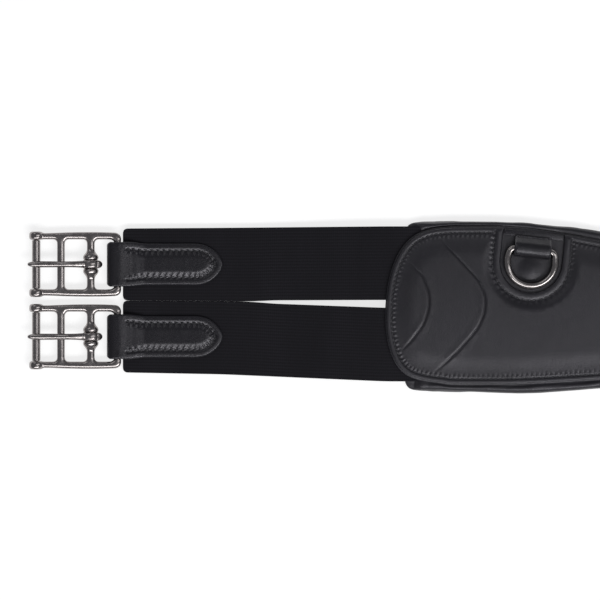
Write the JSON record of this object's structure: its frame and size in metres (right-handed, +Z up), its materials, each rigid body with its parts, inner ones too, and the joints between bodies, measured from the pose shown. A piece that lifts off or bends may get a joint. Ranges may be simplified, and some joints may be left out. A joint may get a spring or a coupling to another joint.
{
  "type": "saddle girth",
  "caption": "Long padded black leather saddle girth with elastic straps, roller buckles on leather chapes, and steel rings in stitched cut-outs along one edge.",
  "frame": {"origin": "middle of the girth's length and width, on the underside of the lining", "axes": "+X along the girth, +Y towards the edge with the rings, +Z up out of the outer leather"},
  "size_m": [1.2, 0.1073, 0.0166],
  "materials": {
    "body_leather": "smooth black bridle leather, semi-matt",
    "lining_leather": "soft black lining leather, matt",
    "strap_leather": "black strap leather, waxed",
    "elastic": "heavy black ribbed elastic webbing",
    "nylon_web": "flat woven nylon",
    "felt_board": "pressed fibre stiffener",
    "foam": "closed-cell foam",
    "buckle_steel": "polished stainless steel, tumbled",
    "roller_steel": "polished stainless steel tube",
    "pin_steel": "drawn steel pin",
    "ring_steel": "polished stainless steel wire"
  },
  "bodies": {
    "body": {"lining": "lining_leather", "foam_pad": "foam", "web_front": "nylon_web", "web_rear": "nylon_web", "stiffener": "felt_board", "base_leather": "body_leather", "outer_panel": "body_leather", "ring_loop_left": "strap_leather", "ring_loop_right": "strap_leather", "elastic_left_front": "elastic", "elastic_left_rear": "elastic", "elastic_right_front": "elastic", "elastic_right_rear": "elastic"},
    "ring_left": {"ring_left": "ring_steel"},
    "ring_right": {"ring_right": "ring_steel"},
    "chape_left_front": {"chape_left_front": "strap_leather"},
    "buckle_left_front": {"buckle_frame_left_front": "buckle_steel", "roller_pin_left_front": "pin_steel"},
    "roller_left_front": {"roller_left_front": "roller_steel"},
    "tongue_left_front": {"tongue_left_front": "buckle_steel"},
    "chape_left_rear": {"chape_left_rear": "strap_leather"},
    "buckle_left_rear": {"buckle_frame_left_rear": "buckle_steel", "roller_pin_left_rear": "pin_steel"},
    "roller_left_rear": {"roller_left_rear": "roller_steel"},
    "tongue_left_rear": {"tongue_left_rear": "buckle_steel"},
    "chape_right_front": {"chape_right_front": "strap_leather"},
    "buckle_right_front": {"buckle_frame_right_front": "buckle_steel", "roller_pin_right_front": "pin_steel"},
    "roller_right_front": {"roller_right_front": "roller_steel"},
    "tongue_right_front": {"tongue_right_front": "buckle_steel"},
    "chape_right_rear": {"chape_right_rear": "strap_leather"},
    "buckle_right_rear": {"buckle_frame_right_rear": "buckle_steel", "roller_pin_right_rear": "pin_steel"},
    "roller_right_rear": {"roller_right_rear": "roller_steel"},
    "tongue_right_rear": {"tongue_right_rear": "buckle_steel"}
  },
  "joints": [
    {"name": "ring_left_lift", "type": "hinge", "parent": "body", "child": "ring_left", "pos_m": [-0.28917, 0.03496, 0.0129], "axis": [-0.9945, 0.1045, 0], "range_deg": [0, 165]},
    {"name": "ring_right_lift", "type": "hinge", "parent": "body", "child": "ring_right", "pos_m": [0.28917, 0.03496, 0.0129], "axis": [-0.9945, -0.1045, 0], "range_deg": [0, 165]},
    {"name": "stretch_left_front", "type": "slide", "parent": "body", "child": "chape_left_front", "axis": [-1, 0, 0], "range_m": [0, 0.045], "stiffness_N_per_m": 3000, "deforming": ["elastic_left_front"]},
    {"name": "buckle_left_front_swing", "type": "hinge", "parent": "chape_left_front", "child": "buckle_left_front", "pos_m": [-0.5447, 0.0266, 0.005], "axis": [0, -1, 0], "range_deg": [-130, 100]},
    {"name": "tongue_left_front_lift", "type": "hinge", "parent": "buckle_left_front", "child": "tongue_left_front", "pos_m": [-0.5612, 0.0266, 0.005], "axis": [0, 1, 0], "range_deg": [0, 120]},
    {"name": "roller_left_front_spin", "type": "hinge", "parent": "buckle_left_front", "child": "roller_left_front", "pos_m": [-0.5949, 0.0266, 0.005], "axis": [0, 1, 0], "continuous": true},
    {"name": "stretch_left_rear", "type": "slide", "parent": "body", "child": "chape_left_rear", "axis": [-1, 0, 0], "range_m": [0, 0.045], "stiffness_N_per_m": 3000, "deforming": ["elastic_left_rear"]},
    {"name": "buckle_left_rear_swing", "type": "hinge", "parent": "chape_left_rear", "child": "buckle_left_rear", "pos_m": [-0.5447, -0.018, 0.005], "axis": [0, -1, 0], "range_deg": [-130, 100]},
    {"name": "tongue_left_rear_lift", "type": "hinge", "parent": "buckle_left_rear", "child": "tongue_left_rear", "pos_m": [-0.5612, -0.018, 0.005], "axis": [0, 1, 0], "range_deg": [0, 120]},
    {"name": "roller_left_rear_spin", "type": "hinge", "parent": "buckle_left_rear", "child": "roller_left_rear", "pos_m": [-0.5949, -0.018, 0.005], "axis": [0, 1, 0], "continuous": true},
    {"name": "stretch_right_front", "type": "slide", "parent": "body", "child": "chape_right_front", "axis": [1, 0, 0], "range_m": [0, 0.045], "stiffness_N_per_m": 3000, "deforming": ["elastic_right_front"]},
    {"name": "buckle_right_front_swing", "type": "hinge", "parent": "chape_right_front", "child": "buckle_right_front", "pos_m": [0.5447, 0.0266, 0.005], "axis": [0, 1, 0], "range_deg": [-130, 100]},
    {"name": "tongue_right_front_lift", "type": "hinge", "parent": "buckle_right_front", "child": "tongue_right_front", "pos_m": [0.5612, 0.0266, 0.005], "axis": [0, -1, 0], "range_deg": [0, 120]},
    {"name": "roller_right_front_spin", "type": "hinge", "parent": "buckle_right_front", "child": "roller_right_front", "pos_m": [0.5949, 0.0266, 0.005], "axis": [0, 1, 0], "continuous": true},
    {"name": "stretch_right_rear", "type": "slide", "parent": "body", "child": "chape_right_rear", "axis": [1, 0, 0], "range_m": [0, 0.045], "stiffness_N_per_m": 3000, "deforming": ["elastic_right_rear"]},
    {"name": "buckle_right_rear_swing", "type": "hinge", "parent": "chape_right_rear", "child": "buckle_right_rear", "pos_m": [0.5447, -0.018, 0.005], "axis": [0, 1, 0], "range_deg": [-130, 100]},
    {"name": "tongue_right_rear_lift", "type": "hinge", "parent": "buckle_right_rear", "child": "tongue_right_rear", "pos_m": [0.5612, -0.018, 0.005], "axis": [0, -1, 0], "range_deg": [0, 120]},
    {"name": "roller_right_rear_spin", "type": "hinge", "parent": "buckle_right_rear", "child": "roller_right_rear", "pos_m": [0.5949, -0.018, 0.005], "axis": [0, 1, 0], "continuous": true}
  ]
}
